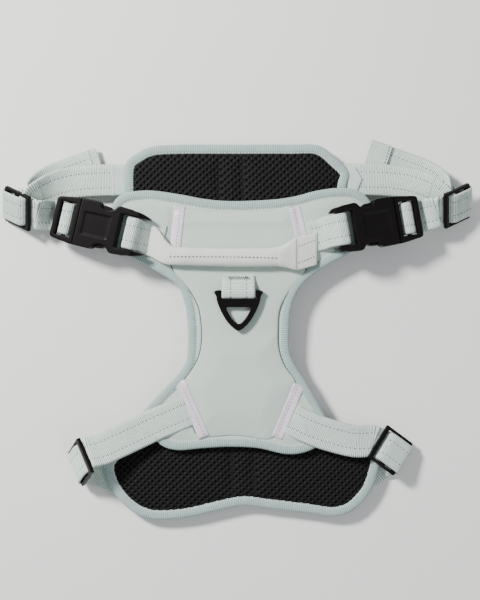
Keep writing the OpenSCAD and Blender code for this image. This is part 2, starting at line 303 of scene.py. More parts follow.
def plain_mat(name, a, c, scale, rough, bump=0.05, dist=0.0001, metal=0.0, spec=0.5, bscale=2500):
    m, nt, b = nodes_of(name)
    n = obj_noise(nt, scale, 4)
    nt.links.new(mix_color(nt, n.outputs["Fac"], a, c), b.inputs["Base Color"])
    b.inputs["Roughness"].default_value = rough
    b.inputs["Metallic"].default_value = metal
    b.inputs["Specular IOR Level"].default_value = spec
    n2 = obj_noise(nt, bscale, 3)
    add_bump(nt, b, n2.outputs["Fac"], bump, dist)
    return m


def mesh_mat(name):
    """Black spacer mesh: strands catch light, and the hole floors are painted near-black as painted shade of the
    holes. fac is 1 in a hole.
    """
    m, nt, b = nodes_of(name)
    at = nt.nodes.new("ShaderNodeAttribute")
    at.attribute_name = "fac"
    n = obj_noise(nt, 900, 2)
    base = mix_color(nt, n.outputs["Fac"], (0.0032, 0.0030, 0.0032), (0.0120, 0.0116, 0.0120))
    # painted shade: where fac is 1 the hole floor is mixed to near-black
    hole_shade_mix = nt.nodes.new("ShaderNodeMix")
    hole_shade_mix.data_type = "RGBA"
    hole_shade_mix.inputs[7].default_value = (0.0006, 0.0006, 0.0006, 1)
    nt.links.new(at.outputs["Fac"], hole_shade_mix.inputs[0])
    nt.links.new(base, hole_shade_mix.inputs[6])
    nt.links.new(hole_shade_mix.outputs[2], b.inputs["Base Color"])
    b.inputs["Roughness"].default_value = 0.55
    b.inputs["Specular IOR Level"].default_value = 0.10
    n2 = obj_noise(nt, 2400, 2)
    add_bump(nt, b, n2.outputs["Fac"], 0.4, 0.0002)
    return m


SAGE = srgb(181, 196, 188)
M_shell = cloth_mat("shell_cloth", SAGE, var=0.025, pitch=0.0006, bump=0.12)
# binding and webbing: the second colour is painted shade for the rib valleys
M_bind = web_mat("binding_tape", srgb(168, 188, 184), srgb(96, 118, 114), 1.4)
M_web = web_mat("webbing", srgb(216, 230, 222), srgb(88, 112, 106))
M_refl = plain_mat("reflective_tape", srgb(196, 184, 196), srgb(222, 212, 222), 60, 0.38, 0.15, 0.0002, spec=0.8, bscale=900)
M_grip = cloth_mat("grip_cloth", srgb(210, 214, 206), var=0.04, pitch=0.0007, bump=0.5, big=40)
M_black = plain_mat("black_plastic", (0.0030, 0.0024, 0.0025), (0.0062, 0.0050, 0.0050), 120, 0.30, 0.10, 0.00008, spec=0.10)
M_patch = cloth_mat("patch_tape", srgb(186, 202, 196), var=0.04, pitch=0.0008, bump=0.4, big=60)
M_steel = plain_mat("steel_ring", (0.012, 0.012, 0.012), (0.022, 0.021, 0.02), 90, 0.32, 0.08, 0.00008, metal=0.6)
M_mesh = mesh_mat("air_mesh")
M_thread = plain_mat("thread_purple", srgb(48, 42, 52), srgb(80, 70, 82), 900, 0.75, 0.2, 0.0001)
M_dark = plain_mat("thread_dark", srgb(28, 34, 34), srgb(52, 60, 58), 900, 0.75, 0.2, 0.0001)
M_pale = plain_mat("thread_pale", srgb(196, 208, 202), srgb(226, 232, 226), 900, 0.75, 0.2, 0.0001)
# painted shade: a darker sage for the tubes laid in the centre panel's seam grooves
M_seam_shade = plain_mat("seam_groove_shade", srgb(66, 80, 76), srgb(92, 106, 100), 500, 0.9, 0.2, 0.0001)


# ------------------------------------------------------------------ stitches
def stitch_mesh(name, pts, tans, nrms, mat, length=1.5, width=0.42, height=0.34):
    """One small lozenge of thread at each point."""
    k = 6
    prof = [(-1.0, 0.0), (-0.72, 0.72), (-0.25, 1.0), (0.25, 1.0), (0.72, 0.72), (1.0, 0.0)]
    vs, fs = [], []
    for p, t, n in zip(pts, tans, nrms):
        b = np.cross(n, t)
        base = len(vs)
        for (u, r) in prof:
            if r == 0.0:
                vs.append(p + t * u * length / 2 - n * 0.06)
                continue
            for j in range(k):
                a = 2 * math.pi * j / k
                vs.append(p + t * u * length / 2 + b * math.cos(a) * width / 2 * r + n * math.sin(a) * height / 2 * r)
        rings = [base + 1 + i * k for i in range(4)]
        last = base + 1 + 4 * k
        for j in range(k):
            fs.append([base, rings[0] + (j + 1) % k, rings[0] + j])
            for i in range(3):
                fs.append([rings[i] + j, rings[i] + (j + 1) % k, rings[i + 1] + (j + 1) % k, rings[i + 1] + j])
            fs.append([rings[3] + j, rings[3] + (j + 1) % k, last])
    return make(name, np.array(vs), fs, mat)


# ------------------------------------------------------------------ straps
def strap_frames(ctrl, wdir, step):
    c = cr_pts(ctrl, 24)
    w = cr_pts(wdir, 24)
    p, s, w = resample(c, step, extra=w)
    t = unit(np.gradient(p, axis=0))
    w = unit(w - (w * t).sum(1, keepdims=True) * t)
    return p, s, t, w, np.cross(t, w)


def strap(name, ctrl, wdir, width=24.0, thick=1.35, flip=False, dashes=(0.27, 0.74), mat=None,
          rib=0.16, seed=1.0, wave=0.12, dash_mat=None, sides=(1,), skip=(0.0, 0.0), step=0.24, trim=None, cut=None):
    """A ribbed web swept along ctrl with its width along wdir. Returns the web and its stitching."""
    mat = mat or M_web
    p, s, t, w, n = strap_frames(ctrl, wdir, step)
    if flip:
        n = -n
    total = s[-1]
    lo_, hi_ = skip[0], total - skip[1]
    if cut is not None:
        a_, b_ = (c_ if c_ >= 0 else total + c_ for c_ in cut)
        k_ = (s >= a_ - 1e-6) & (s <= b_ + 1e-6)
        p, s, t, w, n = p[k_], s[k_], t[k_], w[k_], n[k_]
        lo_, hi_ = max(lo_, a_), min(hi_, b_)
    m = 19
    v = np.linspace(-1, 1, m)
    half = width / 2
    top = []
    for k in range(m):
        r = min(1.0, (1 - abs(v[k])) * half / (thick * 0.55))
        top.append(thick / 2 * math.sqrt(max(0.0, 1 - (1 - r) ** 2)) if r < 1 else thick / 2)
    top = np.array(top)
    rb = rib * np.cos(2 * np.pi * s / 1.2)
    wv = wave * np.array([noise.noise(Vector((a / 17 + seed, seed * 3.1, 0.2))) for a in s])

    def rest_lift(vk):
        # the web lies on the table, it can't go through it
        if not name.startswith("girth"):
            return np.zeros(len(p))
        low = p[:, 2] + w[:, 2] * vk * half - abs(n[:, 2]) * thick / 2
        return np.maximum(0.0, 0.35 - low)

    verts, uvs = [], []
    for side in (1, -1):
        cols = range(m) if side == 1 else range(m - 2, 0, -1)
        for k in cols:
            edge = 1 - abs(v[k]) ** 8
            groove = sum(0.16 * math.exp(-((v[k] - (2 * d - 1)) * half / 0.8) ** 2) for d in dashes)
            off = side * np.maximum(top[k] + rb * edge - (groove if side == 1 else 0), 0.0)
            wob = 0.10 * np.cos(2 * np.pi * s / 1.2) * (abs(v[k]) > 0.98)
            q = p + w * (v[k] * half + wob[:, None] * np.sign(v[k])) + n * (off + wv * (1 - 0.4 * v[k]))[:, None]
            q[:, 2] += rest_lift(v[k])
            if trim is not None:
                q = q + t * (trim * (v[k]) * np.clip(1 - s / 6, 0, 1))[:, None]
            verts.append(q)
            uvs.append(np.stack([s, np.full_like(s, (v[k] + 1) / 2 * width)], 1))
    ring = len(verts)
    N = len(p)
    V = np.stack(verts, 1).reshape(-1, 3)
    U = np.stack(uvs, 1).reshape(-1, 2)
    i = np.arange(N - 1)[:, None] * ring
    j = np.arange(ring)[None, :]
    j2 = (j + 1) % ring
    F = np.stack([i + j, i + j2, i + ring + j2, i + ring + j], -1).reshape(-1, 4)
    faces = F.tolist()
    # caps, as strips across the web
    back = list(range(m, ring))[::-1]
    for base in (0, (N - 1) * ring):
        for k in range(m - 1):
            a, b = k, k + 1
            c = back[b - 1] if 0 < b < m - 1 else (m - 1 if b == m - 1 else 0)
            d = back[a - 1] if 0 < a < m - 1 else (0 if a == 0 else m - 1)
            f = [base + a, base + b, base + c, base + d]
            f2 = []
            for q in f:
                if q not in f2:
                    f2.append(q)
            if len(f2) > 2:
                faces.append(f2)
    ob = outward(make(name, V, faces, mat, uv=U))
    made = [ob]
    if dashes:
        P, T, Nn = [], [], []
        for sd in sides:
            for d in dashes:
                for a in np.arange(1.2, total, 3.1):
                    if a < lo_ + 0.6 or a > hi_ - 0.6:
                        continue
                    q = min(int(np.searchsorted(s, a)), len(s) - 1)
                    off = thick / 2 + 0.02 - 0.10
                    vv = 2 * d - 1
                    P.append(p[q] + w[q] * vv * half + n[q] * sd * (off + wv[q] * sd * (1 - 0.4 * vv)) + np.array([0, 0, rest_lift(vv)[q]]))
                    T.append(t[q])
                    Nn.append(n[q] * sd)
        if P:
            made.append(stitch_mesh(name + "_stitches", P, T, Nn, dash_mat or M_thread, 1.9, 0.62, 0.42))
    return made


def place(c, r, b):
    x = unit(r)
    z = unit(np.cross(r, b))
    if z[2] < 0:
        z = -z
    y = np.cross(z, x)
    m = np.stack([x, y, z], 1)
    c = np.asarray(c, float)
    return (lambda *p: c + m @ np.asarray(p, float)), m


def buckle_frame(o, ang, tilt=10):
    a, t = math.radians(ang), math.radians(tilt)
    x = np.array([math.cos(a) * math.cos(t), math.sin(a) * math.cos(t), -math.sin(t)])
    y = np.array([-math.sin(a), math.cos(a), 0.0])
    z = np.cross(x, y)
    m = np.stack([x, y, z], 1)
    o = np.asarray(o, float)
    return (lambda *p: o + m @ np.asarray(p, float)), m


NL, NLm = place([-164, 91, 15.2], [-17, 8, -11], [-2, -24, -14.4])
NR, NRm = place([165, 93, 15.2], [17, 8, -11], [2, -24, -14.4])
GL, GLm = place([-116.6, -99, 16], [-9, -13, -20.3], [10, -21, 9])
GR, GRm = place([115.4, -90.4, 13], [17.2, -13, -4.8], [-12.8, -19.5, 7])
BL, BLm = buckle_frame([-117.8, 81, 19], 166.9)
BR, BRm = buckle_frame([118.2, 81.8, 20.2], 9.9)

# ------------------------------------------------------------------ outlines
back_ctrl = [[101, 95], [92.5, 103.5], [80, 106.5], [61, 104.5], [43.5, 100], [25, 97.5], [-3.5, 96.5],
  [-23.5, 98], [-42.5, 101.5], [-66.5, 104.5], [-86, 101.5], [-93.5, 92.5], [-95.5, 79], [-92.5, 64],
  [-80, 55], [-64, 46.5], [-45, 34], [-39.5, 22.5], [-36.8, 7], [-36.5, -14], [-38.5, -25], [-45, -34.5],
  [-59, -49], [-70.5, -63], [-68, -71.5], [-57.5, -85.5], [-44.5, -90], [-25, -88.5], [-5, -87.5], [16, -88.5],
  [35.5, -92.8], [48.5, -92.3], [59.5, -88], [68, -81], [71.5, -73.5], [66.5, -65], [52.5, -40], [43.5, -26], [39.5, -14.5],
  [39.5, 1.5], [41, 16], [46.5, 30], [60, 43.5], [88, 59.5], [101.5, 71.5], [103.5, 83]]
front_ctrl = [[62, 138.8], [76, 128.5], [85, 118.5], [83, 108], [81, 92], [70, 68], [48, 42], [32, 22], [28, 0],
  [30, -28], [44, -52], [66, -69], [88, -79], [104, -86], [108, -97], [105, -112], [100, -123], [91, -133.5], [81.5, -139], [70, -140.5],
  [52.5, -138], [23.5, -134.5], [4.5, -132.5], [-15.5, -136.5], [-35, -141], [-53.5, -143], [-67, -142],
  [-79, -136.5], [-90, -126], [-97, -114], [-99, -101], [-92, -91], [-78, -80], [-54, -66], [-36, -50], [-29, -28], [-28, 0],
  [-32, 22], [-50, 46], [-70, 70], [-82, 88], [-84.5, 104], [-83.5, 125], [-74, 133.5], [-62.5, 138.3], [-40, 139.5], [0, 139.5], [40, 139.5]]
centre_ctrl = [[42, 92], [47, 70], [52, 52], [50, 42], [40, 30], [32.5, 16], [31, 1.5], [31.5, -14], [36, -27], [44, -39],
  [41, -50], [33, -70], [25.5, -81.5], [0, -79], [-20, -80], [-29, -80], [-37, -58], [-42.5, -42], [-38, -36], [-29.5, -23], [-26, -9],
  [-26.5, 7], [-29.5, 20], [-38, 34], [-47, 44], [-50, 56], [-47, 72], [-44.5, 90], [-25, 88.5], [0, 87.5], [24, 88.5]]
back_o, _ = resample(cr_pts(back_ctrl, 6, True), 2.0, True)
front_o, _ = resample(cr_pts(front_ctrl[::-1], 6, True), 2.0, True)
centre_o, _ = resample(cr_pts(centre_ctrl[::-1], 6, True), 1.4, True)
BIND = 7.2
Z1, Z2, Z3 = 10.4, 17.0, 17.8


# ------------------------------------------------------------------ panels
def fill_points(o, g, rows=(0.7, 1.6, 2.8), cuts=()):
    lo, hi = o.min(0), o.max(0)
    xs = np.arange(lo[0], hi[0], g)
    ys = np.arange(lo[1], hi[1], g * 0.866)
    X, Y = np.meshgrid(xs, ys)
    X = X + (np.arange(len(ys)) % 2)[:, None] * g / 2
    q = np.stack([X.ravel(), Y.ravel()], 1)
    q = q[inside(q, o)]
    q = q[dist_to(q, o) > max(rows) + 0.55 * g if rows else 0.55 * g]
    sets = []
    for r in rows:
        ring = inset(o, r)
        sets.append(ring)
    for c in cuts:
        for r in (-0.9, 0.0, 0.9):
            ring = c if r == 0.0 else inset(c, r)
            ring = ring[inside(ring, o)]
            ring = ring[dist_to(ring, o) > max(rows) + 0.8]
            sets.append(ring)
        q = q[dist_to(q, c) > 1.5]
    return np.vstack([q] + sets)


SURF = []


def surf(q):
    """Height of the highest padded sheet under each plan point, from the meshes as made."""
    out = np.full(len(q), -1e9)
    for P, z in SURF:
        for i, c in enumerate(q):
            d2 = ((P - c) ** 2).sum(1)
            k = np.argpartition(d2, 4)[:4]
            if d2[k].min() > 9:
                continue
            w = 1 / (d2[k] + 0.01)
            out[i] = max(out[i], (w * z[k]).sum() / w.sum())
    return out


def settle(P, z, T, pinned, pressure=4.0, slack=-0.012, up=1.0):
    """Cloth simulation of a sewn-down sheet, run ten times life size: held where pinned, swelled by the foam under it."""
    S = 10.0
    me = bpy.data.meshes.new("settle")
    me.from_pydata((W(np.column_stack([P, z])) * S).tolist(), [], T)
    me.update()
    ob = bpy.data.objects.new("settle", me)
    bpy.context.scene.collection.objects.link(ob)
    g = ob.vertex_groups.new(name="pin")
    g.add([int(i) for i in np.nonzero(pinned)[0]], 1.0, "REPLACE")
    m = ob.modifiers.new("cloth", "CLOTH")
    c = m.settings
    c.quality = 5
    c.mass = 0.25
    c.tension_stiffness = 12
    c.compression_stiffness = 12
    c.shear_stiffness = 4
    c.bending_stiffness = 0.8
    c.air_damping = 2.0
    c.vertex_group_mass = "pin"
    c.use_pressure = True
    c.uniform_pressure_force = pressure
    c.shrink_min = slack
    c.effector_weights.gravity = 0
    m.collision_settings.use_collision = False
    m.point_cache.frame_start = 1
    m.point_cache.frame_end = 20
    sc = bpy.context.scene
    for f in range(1, 21):
        sc.frame_set(f)
    dg = bpy.context.evaluated_depsgraph_get()
    e = ob.evaluated_get(dg).to_mesh()
    co = np.array([v.co[:] for v in e.vertices]) / S * 1000
    ob.evaluated_get(dg).to_mesh_clear()
    sc.frame_set(1)
    bpy.data.objects.remove(ob)
    bpy.data.meshes.remove(me)
    rise = co[:, 2] - z
    print("settle: rise", rise.min().round(2), rise.max().round(2), "mean", rise.mean().round(2), len(z), "points")
    return rise


def solid_sheet(name, o, g, top, bottom, mat, rows=(0.7, 1.6, 2.8), cuts=(), cloth=None):
    """A closed sheet over outline o: top and bottom are functions of the plan points."""
    pts = np.vstack([o, fill_points(o, g, rows, cuts)])
    n = len(o)
    edges = [(i, (i + 1) % n) for i in range(n)]
    r = delaunay_2d_cdt([Vector(p) for p in pts], edges, [], 1, 1e-5)
    P = np.array([[v.x, v.y] for v in r[0]])
    T = [list(f) for f in r[2]]
    N = len(P)
    zt, zb = top(P), bottom(P)
    if cloth is not None:
        pin, lo_, cap = cloth(P)
        rise = settle(P, zt, T, pin)
        if not np.isfinite(rise).all():
            raise ValueError("the cloth did not settle")
        zt = zt + np.clip(rise, lo_, cap)
    SURF.append((P, zt))
    V = np.vstack([np.column_stack([P, zt]), np.column_stack([P, zb])])
    count = {}
    for f in T:
        for a, b in zip(f, f[1:] + f[:1]):
            count[(a, b)] = count.get((a, b), 0) + 1
    side = [(a, b) for (a, b) in count if (b, a) not in count]
    F = T + [[i + N for i in f[::-1]] for f in T] + [[b, a, a + N, b + N] for a, b in side]
    used = sorted({i for f in F for i in f})
    remap = {u: k for k, u in enumerate(used)}
    F = [[remap[i] for i in f] for f in F]
    return outward(make(name, V[used], F, mat))


back_in = inset(back_o, 5.6)
back_in, _ = resample(back_in, 1.8, True)
edge_b = inset(back_o, BIND)


def puff(d, a, r):
    return a * (1 - np.exp(-np.maximum(d, 0) / r))


def back_top(P):
    ins = inside(P, edge_b)
    d = np.where(ins, dist_to(P, edge_b), 0)
    ds = dist_to(P, centre_o)
    inc = inside(P, centre_o)
    z = Z2 - 0.1 + puff(np.minimum(d, ds), 1.15, 5.0) + 0.25 * lump(P[:, 0], P[:, 1], 15, 2.3) * np.clip(d / 6, 0, 1)
    return np.where(inc, Z2 - 0.35, z)


def back_cloth(P):
    d = np.where(inside(P, edge_b), dist_to(P, edge_b), 0)
    ds = dist_to(P, centre_o)
    pin = (d < 0.4) | (ds < 1.0) | inside(P, centre_o)
    return pin, -0.3, np.minimum(np.minimum(d, ds) * 0.12, 0.55)


back_pad = solid_sheet("back_pad", back_in, 2.2, back_top, lambda P: np.full(len(P), 12.9), M_shell, cuts=[centre_o], cloth=back_cloth)
finish_piece(back_pad, "harness", ["back_panel_shell", "back_panel_foam"])

centre_in = centre_o


def centre_top(P):
    d = dist_to(P, centre_in)
    z = Z2 + 0.15 + 0.62 * np.sqrt(np.clip(d / 0.9, 0, 1)) + puff(d, 0.85, 9.0)
    z += 0.32 * lump(P[:, 0], P[:, 1], 21, 5.1) * np.clip(d / 8, 0, 1)
    # the cloth dips a little under the sewn tab of the ring
    z -= 0.35 * np.exp(-(((P[:, 0] - 1.5) / 14) ** 2 + ((P[:, 1] - 38) / 4) ** 2))
    return np.minimum(z, 18.72)


def centre_cloth(P):
    d = dist_to(P, centre_in)
    # held at its edge, and under the sewn tab of the ring
    pin = (d < 1.3) | ((abs(P[:, 0] - 1.5) < 11) & (abs(P[:, 1] - 39) < 1.5))
    # free to swell below the ring and above the handle, flat under both
    y = P[:, 1]
    free = np.clip((-4 - y) / 14, 0, 1) + np.clip((y - 77) / 8, 0, 1)
    return pin, -0.35, np.minimum(0.10 + 2.1 * free, d * 0.14)


back_centre = solid_sheet("back_centre_cover", centre_in, 2.0, centre_top, lambda P: np.full(len(P), 16.4), M_shell,
                          rows=(0.25, 0.6, 1.2, 2.2), cloth=centre_cloth)
finish_piece(back_centre, "harness", ["back_centre_panel"])


def seam_tube(name, pts, r, mat, body="harness"):
    p, s = resample(np.asarray(pts, float), 0.8)
    t = unit(np.gradient(p, axis=0))
    b = unit(np.cross(t, np.array([0, 0, 1.0])))
    n = np.cross(b, t)
    ks = 8
    V = np.stack([p + b * math.cos(2 * math.pi * k / ks) * r + n * math.sin(2 * math.pi * k / ks) * r for k in range(ks)], 1).reshape(-1, 3)
    N = len(p)
    F = [[i * ks + j, i * ks + (j + 1) % ks, (i + 1) * ks + (j + 1) % ks, (i + 1) * ks + j] for i in range(N - 1) for j in range(ks)]
    F += [list(range(ks))[::-1], [(N - 1) * ks + j for j in range(ks)]]
    return finish_piece(outward(make(name, V, F, mat)), body)


# a darker tube along each side of the centre cover: painted shade of the seam groove
_out = inset(centre_o, -0.25)
for nm, sel in (("centre_seam_right", (_out[:, 0] > 20) & (_out[:, 1] < 88) & (_out[:, 1] > -79)), ("centre_seam_left", (_out[:, 0] < -20) & (_out[:, 1] < 87) & (_out[:, 1] > -78))):
    run = _out[sel]
    run = run[np.argsort(-run[:, 1])]
    seam_tube(nm, np.column_stack([run, np.full(len(run), 17.12)]), 0.42, M_seam_shade)


# spacer mesh: a lattice of oval holes, 5.3 mm apart in a row
def hole(x, y):
    f = np.cos(2 * np.pi * x / 5.3) * np.cos(2 * np.pi * y / 4.8)
    h = np.clip((f - 0.16) / 0.34, 0, 1)
    return h * h * (3 - 2 * h)


def grid_solid(name, o, step, x0, x1, y0, y1, top, bottom, mat, seams=()):
    xs = np.arange(x0, x1, step)
    ys = np.arange(y0, y1, step)
    X, Y = np.meshgrid(xs, ys)
    P = np.stack([X.ravel(), Y.ravel()], 1)
    ins = inside(P, o).reshape(X.shape)
    cell = ins[:-1, :-1] & ins[1:, :-1] & ins[:-1, 1:] & ins[1:, 1:]
    idx = np.arange(X.size).reshape(X.shape)
    q = np.stack([idx[:-1, :-1], idx[:-1, 1:], idx[1:, 1:], idx[1:, :-1]], -1)[cell]
    used = np.unique(q)
    remap = -np.ones(X.size, int)
    remap[used] = np.arange(len(used))
    q = remap[q]
    P = P[used]
    zt, ft = top(P)
    zb, fb = bottom(P)
    N = len(P)
    a = q
    b = np.roll(q, -1, 1)
    E = np.stack([a.ravel(), b.ravel()], 1)
    key = E[:, 0].astype(np.int64) * N + E[:, 1]
    rkey = E[:, 1].astype(np.int64) * N + E[:, 0]
    open_e = E[~np.isin(key, rkey)]
    walls = np.stack([open_e[:, 1], open_e[:, 0], open_e[:, 0] + N, open_e[:, 1] + N], 1)
    F = np.vstack([q, q[:, ::-1] + N, walls])
    V = np.vstack([np.column_stack([P, zt]), np.column_stack([P, zb])])
    # fac marks the holes, which the air mesh material paints near-black as painted shade
    return make(name, V, F, mat, fac=np.concatenate([ft, fb]))


front_in = inset(front_o, 5.4)
edge_f = inset(front_o, BIND)
GRID = 0.62
SEAM_C = (-12.6, 5.2)      # the two chest seams
SEAM_B = (-3.2, 13.9)      # belly seams


def front_top(P):
    d = dist_to(P, edge_f)
    d = np.where(inside(P, edge_f), d, 0)
    seams = np.where(P[:, 1] > 0, np.minimum(abs(P[:, 0] - SEAM_C[0]), abs(P[:, 0] - SEAM_C[1])),
                     np.minimum(abs(P[:, 0] - SEAM_B[0]), abs(P[:, 0] - SEAM_B[1])))
    z = Z1 - 0.2 + puff(np.minimum(d, seams * 1.2), 1.25, 6.0)
    x = P[:, 0] + 0.8 * np.sin(P[:, 1] / 17)
    y = P[:, 1] + 1.2 * np.sin(P[:, 0] / 26)
    h = hole(x, y) * np.clip((seams - 0.4) / 0.7, 0, 1)
    z = z + 0.35 * lump(P[:, 0], P[:, 1], 19, 7.7) * np.clip(d / 8, 0, 1)
    return np.minimum(z, 11.7) - 1.05 * h, h


def flat_bottom(z):
    return lambda P: (np.full(len(P), z), np.zeros(len(P)))


fm1 = grid_solid("front_mesh_chest", front_in, GRID, -90, 90, 84, 141, front_top, flat_bottom(8.8), M_mesh)
fm2 = grid_solid("front_mesh_belly", front_in, GRID, -104, 112, -144, -76, front_top, flat_bottom(8.8), M_mesh)
fm3 = grid_solid("front_mesh_middle", front_in, 2.5, -104, 112, -78.5, 86.5, front_top, flat_bottom(8.8), M_mesh)
finish_piece(fm1, "harness", ["front_panel_lining"])
finish_piece(fm2, "harness", ["front_panel_lining"])
finish_piece(fm3, "harness", ["front_panel_lining"])


def front_under(P):
    d = np.where(inside(P, edge_f), dist_to(P, edge_f), 0)
    return 5.7 - puff(d, 0.35, 8.0) - 0.15 * lump(P[:, 0], P[:, 1], 17, 3.1) * np.clip(d / 8, 0, 1)


front_in2, _ = resample(inset(front_o, 5.4), 2.4, True)
front_pad = solid_sheet("front_pad", front_in2, 3.6, lambda P: np.full(len(P), 9.0), front_under, M_shell)
finish_piece(front_pad, "harness", ["front_panel_shell", "front_panel_foam"])


def under_mesh(P):
    h = hole(P[:, 0], P[:, 1])
    d = np.where(inside(P, edge_b), dist_to(P, edge_b), 0)
    return 12.15 - puff(d, 0.15, 8.0) + 0.55 * h, h


back_lining = grid_solid("back_lining", inset(back_o, 5.6), 0.9, -100, 108, -96, 110,
                         flat_bottom(13.05), under_mesh, M_mesh)
finish_piece(outward(back_lining), "harness", ["back_panel_lining"])


# ------------------------------------------------------------------ bindings
def binding(name, o, z0, z1, node, seed):
    c = inset(o, 3.6)
    c = cr_pts(resample(c, 3.0, True)[0], 3, True)
    c, s = resample(c, 0.35, True)
    t = unit(np.roll(c, -1, 0) - np.roll(c, 1, 0))
    nrm = np.stack([-t[:, 1], t[:, 0]], 1)          # points inwards
    zc, h, w = (z0 + z1) / 2, (z1 - z0) / 2, 3.75
    ks = 22
    verts, uvs = [], []
    wob = 0.16 * np.array([noise.noise(Vector((a / 9.0 + seed, seed, 0))) for a in s])
    wob += 0.22 * np.array([noise.noise(Vector((a / 26.0 + seed, 2 * seed, 4))) for a in s])
    rib = 0.06 * np.cos(2 * np.pi * s / 1.4)
    for k in range(ks):
        a = 2 * math.pi * k / ks
        cu, su = math.cos(a), math.sin(a)
        u = math.copysign(abs(cu) ** 0.62, cu)
        v = math.copysign(abs(su) ** 0.72, su)
        off = u * (w + rib)
        zz = v * (h + wob * (1 if v > 0 else 0.4) + rib)
        if v > 0:
            zz = zz - 0.28 * math.exp(-((u - 0.70) / 0.16) ** 2) + 0.12 * math.exp(-((u - 0.2) / 0.4) ** 2)
        verts.append(np.column_stack([c + nrm * np.asarray(off)[:, None], zc + zz]))
        uvs.append(np.column_stack([s, np.full(len(s), k / ks * 20)]))
    V = np.stack(verts, 1).reshape(-1, 3)
    U = np.stack(uvs, 1).reshape(-1, 2)
    N = len(c)
    i = np.arange(N)[:, None] * ks
    i2 = ((np.arange(N) + 1) % N)[:, None] * ks
    j = np.arange(ks)[None]
    j2 = (j + 1) % ks
    F = np.stack([i + j, i + j2, i2 + j2, i2 + j], -1).reshape(-1, 4)
    ob = outward(make(name, V, F, M_bind, uv=U))
    finish_piece(ob, "harness", [node])
    # a line of thread along the inner edge
    P, T, Nn = [], [], []
    for a in np.arange(0.5, s[-1], 2.5):
        q = int(np.searchsorted(s, a))
        q = min(q, N - 1)
        cu_ = 0.70 ** (1 / 0.62)
        zz = zc + h * (1 - cu_ * cu_) ** 0.36 - 0.20
        P.append([*(c[q] + nrm[q] * w * 0.70), zz + wob[q]])
        T.append([*t[q], 0])
        Nn.append([0, 0, 1])
    st = stitch_mesh(name + "_stitches", np.array(P), np.array(T), np.array(Nn, float), M_pale, 1.6, 0.60, 0.50)
    finish_piece(st, "harness")
    return ob


binding("back_binding", back_o, 12.0, 17.75, "back_panel_binding", 1.7)
binding("front_binding", front_o, 5.5, 11.3, "front_panel_binding", 4.2)


# ------------------------------------------------------------------ reflective strips
def refl(name, a, b, node, dash_side):
    a, b = np.array(a, float), np.array(b, float)
    L = np.linalg.norm(b - a)
    t = (b - a) / L
    n2 = np.array([-t[1], t[0]])
    s = np.arange(0, L + 0.01, 1.2)
    v = np.linspace(-4.3, 4.3, 9)
    rows = []
    for q in s:
        pts = a + t * q + n2 * v[:, None]
        z = surf(pts)
        z = np.convolve(np.pad(z, 2, mode="edge"), np.ones(5) / 5, "valid") * 0.5 + 0.5 * z
        zt = np.maximum(z + 0.42, Z3 - 0.1) - 0.22 * (abs(v) > 4.2)
        rows.append(np.column_stack([pts, zt]))
    top = np.stack(rows, 0)
    bot = top.copy()
    bot[..., 2] = np.minimum(top[..., 2] - 0.45, 17.4)
    V = np.concatenate([top.reshape(-1, 3), bot.reshape(-1, 3)])
    R, C = len(s), len(v)
    N = R * C
    F = []
    for i in range(R - 1):
        for j in range(C - 1):
            q = [i * C + j, i * C + j + 1, (i + 1) * C + j + 1, (i + 1) * C + j]
            F.append(q)
            F.append([N + k for k in q[::-1]])
    loop = [j for j in range(C)] + [i * C + C - 1 for i in range(1, R)] + [(R - 1) * C + j for j in range(C - 2, -1, -1)] + [i * C for i in range(R - 2, 0, -1)]
    for p, q in zip(loop, loop[1:] + loop[:1]):
        F.append([p, q, q + N, p + N])
    ob = outward(make(name, V, F, M_refl))
    finish_piece(ob, "harness", [node])
    P, T, Nn = [], [], []
    for off in (0.6 * dash_side,):
        for q in np.arange(1.5, L - 1, 2.6):
            i = int(q / 1.2)
            j = int(np.argmin(abs(v - off)))
            P.append([*(a + t * q + n2 * off), top[min(i, R - 1), j, 2] + 0.02])
            T.append([*t, 0])
            Nn.append([0, 0, 1.0])
    st = stitch_mesh(name + "_stitches", np.array(P), np.array(T), np.array(Nn), M_thread, 1.3, 0.4, 0.3)
    finish_piece(st, "harness")


refl("strip_upper_left", [-42.5, 92.5], [-46.5, 56], "reflective_strip_upper_left", 1)
refl("strip_upper_right", [43.5, 92], [50, 64], "reflective_strip_upper_right", -1)
refl("strip_lower_left", [-42.5, -38.5], [-24, -80.5], "reflective_strip_lower_left", 1)
refl("strip_lower_right", [47, -41], [30, -81.5], "reflective_strip_lower_right", -1)


# ------------------------------------------------------------------ moulded parts
def moulded(name, node, body, voxel=0.38, rounds=5, mat=None, extra=()):
    """Rounds the edges of a moulded part: a voxel skin of the solid, then smoothed."""
    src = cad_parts[node]
    me = src.data.copy()
    me.transform(src.matrix_world)
    if extra:
        vs = [tuple(v.co) for v in me.vertices]
        fs = [list(p_.vertices) for p_ in me.polygons]
        for ev, ef in extra:
            base = len(vs)
            vs += [tuple(q) for q in W(ev)]
            fs += [[base + i for i in f] for f in ef]
        me = bpy.data.meshes.new(name)
        me.from_pydata(vs, [], fs)
        me.update()
    ob = bpy.data.objects.new(name, me)
    bpy.context.scene.collection.objects.link(ob)
    m = ob.modifiers.new("w", "WELD")
    m.merge_threshold = 1e-6
    m = ob.modifiers.new("r", "REMESH")
    m.mode = "VOXEL"
    m.voxel_size = voxel / 1000 * 1
    m.use_smooth_shade = True
    m = ob.modifiers.new("s", "SMOOTH")
    m.factor = 0.5
    m.iterations = rounds
    bpy.context.view_layer.update()
    dg = bpy.context.evaluated_depsgraph_get()
    new = bpy.data.meshes.new_from_object(ob.evaluated_get(dg))
    ob.modifiers.clear()
    ob.data = new
    new.materials.clear()
    new.materials.append(mat or M_black)
    new.polygons.foreach_set("use_smooth", [True] * len(new.polygons))
    new.polygons.foreach_set("material_index", [0] * len(new.polygons))
    finish_piece(ob, body, [node])
    return ob


